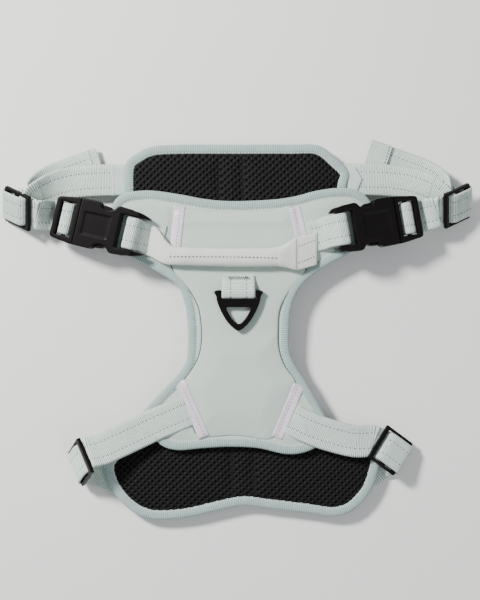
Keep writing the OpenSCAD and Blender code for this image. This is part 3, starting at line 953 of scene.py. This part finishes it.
def prism(B, poly, z0, z1):
    """A closed prism in the buckle's own axes; z0 and z1 give the lower and upper height at each corner."""
    n = len(poly)
    v = [B(x, y, z0[i]) for i, (x, y) in enumerate(poly)] + [B(x, y, z1[i]) for i, (x, y) in enumerate(poly)]
    a = sum(poly[i][0] * poly[(i + 1) % n][1] - poly[(i + 1) % n][0] * poly[i][1] for i in range(n))
    f = [list(range(n))[::-1], list(range(n, 2 * n))] + [[i, (i + 1) % n, n + (i + 1) % n, n + i] for i in range(n)]
    if a < 0:
        f = [q[::-1] for q in f]
    return np.array(v), f


# the side rails run on past the web bar and taper to a point
RAIL = [(-42.5, 12.9), (-42.5, 16.9), (-46.5, 16.2), (-50.5, 14.9), (-54.0, 13.3), (-54.4, 12.8), (-50, 12.75)]
RAIL_T = [4.2, 4.2, 3.4, 1.6, -0.6, -0.8, 1.8]
RAIL_B = [-5.2, -5.2, -5.0, -4.4, -3.6, -3.4, -4.4]
for s_ in ("left", "right"):
    B_ = BL if s_ == "left" else BR
    if s_ == "right":      # shorter on this side
        RAIL = [(-42.5, 12.9), (-42.5, 16.9), (-45.2, 16.5), (-47.2, 15.4), (-48.5, 13.8), (-48.6, 12.9), (-46, 12.8)]
        RAIL_T = [4.2, 4.2, 3.7, 2.6, 0.8, 0.6, 2.8]
        RAIL_B = [-5.2, -5.2, -5.1, -4.8, -4.2, -4.2, -4.9]
    rails = [prism(B_, RAIL, RAIL_B, RAIL_T), prism(B_, [(x, -y) for x, y in RAIL], RAIL_B, RAIL_T)]
    moulded(f"buckle_socket_{s_}", f"buckle_female_{s_}", "harness", extra=rails)
    moulded(f"buckle_plug_{s_}", f"buckle_male_{s_}", f"buckle_half_{s_}")
    moulded(f"release_arm_upper_{s_}", f"buckle_arm_upper_{s_}", f"arm_upper_{s_}")
    moulded(f"release_arm_lower_{s_}", f"buckle_arm_lower_{s_}", f"arm_lower_{s_}")
    moulded(f"neck_triglide_{s_}", f"neck_slider_{s_}", f"neck_adjuster_{s_}", 0.36, 5)
    moulded(f"girth_triglide_{s_}", f"girth_slider_{s_}", f"girth_adjuster_{s_}", 0.36, 5)
moulded("lead_ring_back", "back_ring", "back_ring_body", 0.36, 8)
moulded("lead_ring_front", "front_ring", "front_ring_body", 0.30, 3, M_steel)


# ------------------------------------------------------------------ webbing
def ride_all(obs, body, nodes=()):
    for k, o in enumerate(obs):
        finish_piece(o, body, nodes if k == 0 else ())


def blend_all(obs, start, end, nodes=()):
    for k, o in enumerate(obs):
        if nodes and k == 0:
            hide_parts(*nodes)
        tuple(W(start))
        tuple(W(end))
        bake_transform(o)


FOLD = [(-13.2, -2.8), (-9.8, -2.7), (-8.0, -1.5), (-6.2, 1.0), (-3.6, 2.5), (0, 2.85), (5, 2.9), (10.2, 2.9), (13.2, 2.1),
        (14.5, 0.1), (13.6, -2.1), (10.8, -3.0), (5, -3.1), (0, -3.1), (-5, -3.1)]


def fold(name, P, M, body, node):
    ctrl = [P(x, 0, z) for x, z in FOLD]
    ride_all(strap(name, ctrl, [M[:, 1]] * len(ctrl), width=23.6, thick=1.3, wave=0.0, skip=(7, 17)), body, [node])


for side, P, M, G, Gm, sg in (("left", NL, NLm, GL, GLm, -1), ("right", NR, NRm, GR, GRm, 1)):
    fold(f"neck_fold_{side}", P, M, f"neck_adjuster_{side}", f"neck_strap_fold_{side}")
    fold(f"girth_fold_{side}", G, Gm, f"girth_adjuster_{side}", f"girth_strap_fold_{side}")

# neck straps, chest panel to adjuster, and their hemmed tails
y_l, y_r = NLm[:, 1], NRm[:, 1]
c1 = [(-79.5, 112.8, 8.3), (-85, 112.8, 8.4), (-92, 112.8, 8.7), (-108, 112.4, 8.7), (-124, 110.8, 9.0), (-138, 106.8, 12), (-149, 100.5, 16.6),
      NL(-6, -2, -4.6), NL(2, -1, -4.6)]
w1 = [(0, -1, 0)] * 5 + [(-.1, -.97, -.2), (-.07, -.9, -.4), y_l, y_l]
blend_all(strap("neck_strap_1_left", c1, w1, seed=2.0, skip=(10, 6), cut=(0, -24)), (-95, 112, 10), (-150, 100, 17), ["neck_strap_left"])
blend_all(strap("neck_strap_1_end_left", c1, w1, seed=2.0, skip=(10, 6), cut=(-24.2, 1e9)), NL(-26, 0, 0), NL(-10, 0, 0))
c1 = [(80.5, 113.2, 8.3), (86, 113.2, 8.4), (93, 113.2, 8.7), (108, 113.0, 8.7), (124, 111.5, 9.0), (138, 107.8, 12), (150, 101.5, 16.6),
      NR(-6, 2, -4.6), NR(2, 1, -4.6)]
w1 = [(0, 1, 0)] * 5 + [(.1, .97, .2), (-.07, .9, .4), y_r, y_r]
blend_all(strap("neck_strap_1_right", c1, w1, seed=5.0, skip=(10, 6), cut=(0, -24)), (95, 112, 10), (150, 100, 17), ["neck_strap_right"])
blend_all(strap("neck_strap_1_end_right", c1, w1, seed=5.0, skip=(10, 6), cut=(-24.2, 1e9)), NR(-26, 0, 0), NR(-10, 0, 0))
c2 = [(-103.4, 126.2, 4.4), (-110, 124.0, 3.6), (-119, 120.8, 3.0), (-130.7, 116.6, 3.0), (-144, 110.6, 5.2), (-153.5, 103, 9.5), NL(-3, -3, -6.2), NL(4, -2, -6.2)]
w2 = [(.30, -.954, 0)] * 3 + [(.2, -.97, 0), (.05, -.96, -.2), (-.07, -.9, -.42), y_l, y_l]
t2 = strap("neck_tail_left", c2, w2, seed=8.0, skip=(5, 4), cut=(0, -24))
blend_all(t2, (-108, 124, 4), (-152, 104, 9), ["neck_strap_tail_left"])
blend_all(strap("neck_tail_end_left", c2, w2, seed=8.0, skip=(5, 4), cut=(-24.2, 1e9)), NL(-26, 0, 0), NL(-10, 0, 0))
c2 = [(99.4, 132.0, 4.4), (106, 129.8, 3.6), (114, 127.0, 3.0), (127, 122.4, 3.0), (141.2, 116.6, 5.2), (152.5, 108.5, 9.5), NR(-3, 3, -6.2), NR(4, 2, -6.2)]
w2 = [(.30, .954, 0)] * 3 + [(.32, .95, 0), (.33, .92, .12), (.2, .9, .35), y_r, y_r]
t2 = strap("neck_tail_right", c2, w2, seed=9.0, skip=(12, 4), cut=(0, -24))
blend_all(t2, (106, 129, 4), (152, 106, 9), ["neck_strap_tail_right"])
blend_all(strap("neck_tail_end_right", c2, w2, seed=9.0, skip=(12, 4), cut=(-24.2, 1e9)), NR(-26, 0, 0), NR(-10, 0, 0))


def hem(name, c, along, across, start, end, z, mat=None, length=9.0, thick=1.2):
    """The folded-over end of a tail: a second layer with a line of thread."""
    c, along, across = np.array(c, float), unit(along), unit(across)
    pts = [c + along * a for a in (-0.4, 2.5, 5.5, length)]
    ctrl = [(p[0], p[1], z - 0.0 * i) for i, p in enumerate(pts)]
    obs = strap(name, ctrl, [tuple(across) + (0,)] * 4, width=23.9, thick=thick, dashes=(), wave=0.0)
    P, T, Nn = [], [], []
    for a in np.arange(-10.5, 10.6, 2.3):
        q = c + along * (length - 1.6) + across * a
        P.append([q[0], q[1], z + thick / 2 + 0.1])
        T.append([*across, 0])
        Nn.append([0, 0, 1.0])
    obs.append(stitch_mesh(name + "_stitches", np.array(P), np.array(T), np.array(Nn), M_dark, 1.7, 0.5, 0.4))
    blend_all(obs, start, end)


hem("hem_left", (-103.4, 126.2), (-.953, -.30), (.30, -.954), (-108, 124, 4), (-152, 104, 9), 5.2, length=7)
hem("hem_right", (99.4, 132.0), (.953, -.30), (.30, .954), (106, 129, 4), (152, 106, 9), 5.2, length=15.5)


# web doubled round the bar of the male half and on to the adjuster
def adjust(name, B, Bm, P, M, node, flip):
    loc = [(22, -2.3), (17.5, -2.7), (15.0, -1.8), (14.0, 0.4), (12.6, 2.5), (9.9, 3.3), (7.2, 2.5), (5.9, 0.5),
           (5.7, -1.6), (6.8, -3.7), (10, -4.8), (16, -5.0), (22, -4.3)]
    mid = [B(x, 0, z) for x, z in loc]
    y = Bm[:, 1]
    ctrl = [P(-9.6, 0, -2.9), P(-13.5, 0, -2.8), P(-17.5, 0, -3.4)] + mid + [P(-17, 0, -5.2), P(-12, 0, -4.4), P(-8, 0, -4.3)]
    sy = M[:, 1] if M[:, 1] @ y > 0 else -M[:, 1]
    wd = [sy] * 3 + [y] * len(mid) + [sy] * 3
    blend_all(strap(name, ctrl, wd, width=23.8, thick=1.2, flip=flip, wave=0.0, seed=3.0, sides=(1,)), B(19.5, 0, 0), P(-12, 0, -3), [node])


adjust("adjust_web_left", BL, BLm, NL, NLm, "neck_adjust_web_left", True)
adjust("adjust_web_right", BR, BRm, NR, NRm, "neck_adjust_web_right", True)


# shoulder webs: round the rear bar of the female half and down to the panel
def shoulder(name, B, Bm, end, node, flip):
    loc = [(-54, -10.2), (-48.5, -7.6), (-43, -6.8), (-39.5, -6.6), (-37.4, -5.2), (-37.0, -1), (-37.2, 2.4), (-38.6, 4.0), (-41, 4.4),
           (-43.7, 4.0), (-45.6, 2.0), (-47.8, -1.4), (-51, -5.2)]
    ctrl = [B(x, 0, z) for x, z in loc] + end
    y = Bm[:, 1]
    ride_all(strap(name, ctrl, [y] * len(loc) + [tuple(y)] * len(end), width=24, thick=1.3, flip=flip, wave=0.1, seed=6.0,
                   sides=(1,), skip=(6, 2)), "harness", [node])


shoulder("shoulder_web_left", BL, BLm, [(-64, 68.6, 19.6), (-60, 67.6, 18.9), (-54.5, 66.4, 18.5)], "shoulder_loop_left", True)
shoulder("shoulder_web_right", BR, BRm, [(63.5, 71.4, 19.8), (60, 70.6, 18.9), (54.5, 69.6, 18.5)], "shoulder_loop_right", True)

# girth straps, on the back panel to the adjuster
gl = [(-35.5, -59.8, 17.2), (-40.5, -62, 17.9), (-50, -66, 18.6), (-62, -71.2, 18.8), (-76, -77.8, 19.4), (-90, -84.2, 21.4), (-101, -89, 24.4),
      GL(-15.5, 0, -2.4), GL(-11.5, 0, -3.0), GL(-8, 0, -2.6)]
wg = [(.40, -.915, 0)] * 5 + [(.41, -.9, .1), (.4, -.87, .25), GLm[:, 1], GLm[:, 1], GLm[:, 1]]
blend_all(strap("girth_strap_left_web", gl, wg, seed=11.0, wave=0.08, trim=1.6), (-68, -74, 18), (-106, -90, 18), ["girth_strap_left"])
gr = [(38.5, -65.6, 17.2), (43, -67.9, 17.9), (52, -72.2, 18.6), (62.6, -76.4, 18.6), (76, -80.4, 18.4), (89, -83.2, 17.6),
      GR(-15.5, -2, -2.4), GR(-11.5, -1, -3.0), GR(-8, 0, -2.8)]
wg = [(.45, .89, 0), (.45, .89, 0), (.42, .9, 0), (.33, .94, 0), (.26, .96, 0), (.3, .95, -.1), GRm[:, 1], GRm[:, 1], GRm[:, 1]]
blend_all(strap("girth_strap_right_web", gr, wg, seed=12.0, wave=0.08, trim=2.0), (68, -78, 18), (101, -85, 18), ["girth_strap_right"])
rl = [GL(2, 0, -4.5), GL(9, 0, -4.4), (-113.2, -104.2, 2.8), (-107, -106.5, 2.4), (-100, -108.8, 4.0), (-88.6, -112.6, 4.5)]
wr = [GLm[:, 1], GLm[:, 1], (-.1, -.98, .1), (-.25, -.96, 0), (-.309, -.951, 0), (-.309, -.951, 0)]
blend_all(strap("girth_return_left", rl, wr, seed=13.0, wave=0.0), (-96, -110, 4), (-112.5, -103.5, 4), ["girth_return_web_left"])
rr = [GR(8, 0, -4.4), GR(2, 0, -4.8), (111, -97, 4.2), (106, -103.5, 2.6), (100, -107.5, 3.6), (88, -111.2, 4.5)]
wr = [GRm[:, 1], GRm[:, 1], (.3, .93, -.1), (0, .98, 0), (-.2, .978, 0), (-.2, .978, 0)]
blend_all(strap("girth_return_right", rr, wr, seed=14.0, wave=0.0), (98, -108, 4), (111, -96, 5), ["girth_return_web_right"])

# ring tabs
br = np.array([1.5, 28, 21.0])
tb = [(12.6, -2.1), (9, -1.2), (5.5, 0.9), (2.5, 2.2), (-0.5, 2.6), (-3.0, 1.7), (-3.9, 0), (-3.0, -1.7), (-0.5, -2.3), (4, -2.4), (9, -2.75), (12.6, -2.9)]
ctrl = [br + np.array([0, y, z]) for y, z in tb]
ride_all(strap("back_tab", ctrl, [(1, 0, 0)] * len(ctrl), width=25.2, thick=1.0, flip=False, wave=0.0, seed=3.0), "harness", ["back_ring_tab"])
P, T, Nn = [], [], []
for k, x in enumerate(np.arange(-7.2, 8.2, 0.8)):
    y = 11.2 - 0.9 * (k % 2)
    P.append([br[0] + x, br[1] + y, br[2] - 1.05 - 0.12 * (y - 9)])
    T.append(unit([0.9, 1.1 if k % 2 else -1.1, 0]))
    Nn.append([0, 0, 1.0])
finish_piece(stitch_mesh("back_tab_bartack", np.array(P), np.array(T), np.array(Nn), M_dark, 2.3, 0.8, 0.7), "harness")
fr = np.array([-4, 92, 2.1])
tb = [(15, 1.75), (10, 1.7), (4, 1.7), (0.6, 1.85), (-1.2, 1.3), (-1.8, 0), (-1.2, -1.3), (0.6, -1.75), (4, -1.2), (8, 0.0), (11, 0.7), (15, 0.9)]
ctrl = [fr + np.array([0, y, z]) for y, z in tb]
ride_all(strap("front_tab", ctrl, [(1, 0, 0)] * len(ctrl), width=22, thick=0.6, wave=0.0, rib=0.04, dashes=(), seed=3.0), "harness", ["front_ring_tab"])
ctrl = [(-4 + 250 * f * math.cos(math.radians(-88)), 128 + 250 * f * math.sin(math.radians(-88)), 4.9) for f in np.linspace(0, 1, 12)]
ride_all(strap("front_centre_web", ctrl, [(1, 0.035, 0)] * 12, flip=False, wave=0.0, seed=3.0, sides=(1, -1), step=0.5), "harness", ["front_centre_webbing"])

# anchor patches on the neck straps
def patch(name, poly, z, node, dash):
    o = np.array(poly, float)
    a = ((o[:, 0] * np.roll(o[:, 1], -1) - np.roll(o[:, 0], -1) * o[:, 1]).sum()) / 2
    o = o if a > 0 else o[::-1]
    o, _ = resample(o, 0.9, True)
    ob = solid_sheet(name, o, 1.6, lambda P: z + 0.75 * np.sqrt(np.clip(dist_to(P, o) / 0.8, 0, 1)), lambda P: np.full(len(P), z - 0.2), M_patch, rows=(0.3, 0.8))
    finish_piece(ob, "harness", [node])
    P, T, Nn = [], [], []
    for p, q in zip(dash, dash[1:]):
        p, q = np.array(p, float), np.array(q, float)
        L = np.linalg.norm(q - p)
        t = (q - p) / L
        for s in np.arange(0.6, L, 2.0):
            P.append([*(p + t * s), z + 0.8])
            T.append([*t, 0])
            Nn.append([0, 0, 1.0])
    finish_piece(stitch_mesh(name + "_stitches", np.array(P), np.array(T), np.array(Nn), M_dark, 1.5, 0.45, 0.35), "harness")


patch("neck_patch_left", [(-93.4, 101.3), (-83.4, 101.3), (-83.4, 124.3), (-93.4, 124.3)], 9.3, "neck_strap_patch_left", [(-92.2, 102.5), (-92.2, 123.5)])
patch("neck_patch_right", [(83.5, 102.6), (91.0, 103.2), (95.6, 113.6), (90.2, 122.6), (83.5, 123.8)], 9.3, "neck_strap_patch_right",
      [(90.6, 104.2), (94.6, 113.6), (89.8, 121.8)])


# ------------------------------------------------------------------ handle
def tube(name, stations, mat, flat=2.4, seed=1.0, seam=True, pitch=0.6, crease=None):
    """Padded cloth swept left to right. A station is x, y, z, half width, half height."""
    st = cr_pts(stations, 16)
    p, s, e = resample(st[:, :3], pitch, extra=st[:, 3:])
    t = unit(np.gradient(p, axis=0))
    ks = 36
    verts, uvs = [], []
    N = len(p)
    for k in range(ks):
        a = 2 * math.pi * k / ks
        cu, su = math.cos(a), math.sin(a)
        f = np.clip((e[:, 0] / e[:, 1] - 1.6) / 3, 0, 1)
        ex = 1 - 0.45 * f
        u = np.sign(cu) * abs(cu) ** ex
        v = np.sign(su) * abs(su) ** ex
        lumpy = 0.16 * np.array([noise.noise(Vector((x / 6 + seed, cu * 1.3, su * 1.3 + seed))) for x in s])
        lumpy += 0.42 * np.array([noise.noise(Vector((x / 14 + seed, cu, su))) for x in s])
        if crease is not None and su > 0:
            for c0, wd_, amp, pitch_, slope in crease:
                ph = p[:, 0] + slope * abs(u)
                lumpy = lumpy + amp * np.exp(-((p[:, 0] - c0) / wd_) ** 2) * np.sin(2 * np.pi * ph / pitch_) * su
        q = p.copy()
        q[:, 1] += u * (e[:, 0] + lumpy * 0.5)
        q[:, 2] += v * (e[:, 1] + lumpy * np.clip(e[:, 1] / 3, 0.2, 1))
        if seam and su > 0.9:
            q[:, 2] -= 0.25 * (su - 0.9) / 0.1
        verts.append(q)
        uvs.append(np.column_stack([s, np.full(N, k * 1.2)]))
    V = np.stack(verts, 1).reshape(-1, 3)
    U = np.stack(uvs, 1).reshape(-1, 2)
    i = np.arange(N - 1)[:, None] * ks
    j = np.arange(ks)[None]
    j2 = (j + 1) % ks
    F = np.stack([i + j, i + j2, i + ks + j2, i + ks + j], -1).reshape(-1, 4).tolist()
    V = np.vstack([V, p[:1], p[-1:]])
    U = np.vstack([U, U[:1], U[-1:]])
    for k in range(ks):
        F.append([len(V) - 2, (k + 1) % ks, k])
        F.append([len(V) - 1, (N - 1) * ks + k, (N - 1) * ks + (k + 1) % ks])
    return outward(make(name, V, F, mat, uv=U)), p, e


grip, gp, ge = tube("grip_pad", [(-51, 56.6, 22.6, 7.8, 3.2), (-47, 55.6, 23.2, 7.0, 3.9), (-40, 55.0, 23.6, 6.7, 4.3), (-20, 54.3, 23.7, 6.7, 4.4),
                          (0, 54.0, 23.7, 6.8, 4.4), (20, 54.1, 23.7, 6.9, 4.4), (28, 54.5, 23.6, 7.1, 4.2), (32, 54.8, 23.5, 7.5, 4.0)], M_grip, seed=2.0)
finish_piece(grip, "handle", ["handle_grip"])
P, T, Nn = [], [], []
for x in np.arange(-49, 31, 2.8):
    y = 54.6 - 1.2 * (x + 49) / 88 + 0.4 * math.sin((x + 49) / 28)
    k = int(np.argmin(abs(gp[:, 0] - x)))
    dy = (y - gp[k, 1]) / ge[k, 0]
    P.append([x, y, gp[k, 2] + ge[k, 1] * math.sqrt(max(0, 1 - dy * dy)) + 0.02])
    T.append([1, 0, 0])
    Nn.append([0, 0, 1.0])
finish_piece(stitch_mesh("grip_seam", np.array(P), np.array(T), np.array(Nn), M_dark, 1.7, 0.75, 0.55), "handle")

flare_l, fp, fe = tube("handle_end_left", [(-70, 68.6, 19.2, 11.6, 0.8), (-66, 67.6, 19.8, 11.9, 0.9), (-61, 65.2, 21.0, 12.2, 1.3), (-56.5, 61.6, 22.0, 11.0, 2.0),
                                 (-52.5, 58.0, 22.5, 8.9, 2.8), (-49, 56.2, 22.9, 7.4, 3.4)], M_grip, seed=4.0, seam=False,
                       crease=((-63, 4.5, 0.34, 3.1, 2.2), (-55, 4.0, 0.26, 2.3, -2.6)))
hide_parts("handle_webbing", "handle_tab_left")
tuple(W((-66, 62, 20)))
tuple(W((-51, 62, 20)))
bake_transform(flare_l)
flare_r, fp, fe = tube("handle_end_right", [(31.5, 54.75, 23.5, 7.5, 4.0), (34, 55.0, 23.45, 8.0, 3.9), (38, 55.7, 23.2, 9.5, 3.4), (41.5, 56.4, 23.0, 11.2, 2.7), (44.2, 56.9, 22.8, 12.2, 2.35), (45.2, 57.1, 22.55, 12.4, 1.5), (49, 57.9, 22.3, 12.3, 1.1), (53.5, 59.0, 21.6, 12.2, 1.0),
                                 (58.5, 60.3, 20.6, 12.0, 0.9), (60.2, 61.0, 19.7, 11.8, 0.8)], M_grip, seed=6.0, seam=False,
                       crease=((42, 2.6, 0.26, 1.7, -1.8), (52, 4.0, 0.12, 2.6, 0.5)))
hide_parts("handle_tab_right")
tuple(W((58, 60, 20)))
tuple(W((36, 60, 20)))
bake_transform(flare_r)
P, T, Nn = [], [], []
for (xa, ya), (xb, yb) in (((46.6, 62.6), (57.6, 66.6)), ((46.6, 50.2), (57.6, 54.6))):
    for q in np.linspace(0, 1, 6):
        x, y = xa + (xb - xa) * q, ya + (yb - ya) * q
        k = int(np.argmin(abs(fp[:, 0] - x)))
        P.append([x, y, fp[k, 2] + fe[k, 1] * 0.97 + 0.1])
        T.append(unit([xb - xa, yb - ya, 0]))
        Nn.append([0, 0, 1.0])
dsh = stitch_mesh("handle_end_right_stitches", np.array(P), np.array(T), np.array(Nn), M_dark, 1.5, 0.55, 0.6)
tuple(W((58, 60, 20)))
tuple(W((36, 60, 20)))
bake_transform(dsh)

# ------------------------------------------------------------------ stage
bpy.ops.mesh.primitive_plane_add(size=4, location=(0, 0, 0))
floor = bpy.context.object
floor.name = "floor"
floor.data.materials.append(plain_mat("floor_mat", (0.80, 0.795, 0.78), (0.84, 0.835, 0.82), 6, 0.8, 0.02, 0.0002))

wd = bpy.data.worlds.new("world")
bpy.context.scene.world = wd
wd.use_nodes = True
wd.node_tree.nodes["Background"].inputs[0].default_value = (0.93, 0.96, 1.0, 1)
wd.node_tree.nodes["Background"].inputs[1].default_value = 0.42


def light(name, loc, target, size, power, color=(1, 1, 1)):
    d = bpy.data.lights.new(name, "AREA")
    d.shape = "DISK"
    d.size = size
    d.energy = power
    d.color = color
    o = bpy.data.objects.new(name, d)
    o.location = loc
    o.rotation_mode = "QUATERNION"
    o.rotation_quaternion = (Vector(target) - Vector(loc)).to_track_quat("-Z", "Y")
    bpy.context.scene.collection.objects.link(o)


light("key", (-0.95, 0.75, 1.05), (0, 0, 0), 0.30, 52, (1.0, 0.985, 0.96))
light("fill", (0.9, -0.5, 1.3), (0, 0, 0), 1.2, 7, (0.95, 0.97, 1.0))

cam = bpy.data.cameras.new("camera")
cam.lens = 96
cam.sensor_width = 36
co = bpy.data.objects.new("camera", cam)
co.location = (0.0021, 0.0241, 1.215)
bpy.context.scene.collection.objects.link(co)
bpy.context.scene.camera = co

bpy.context.view_layer.update()
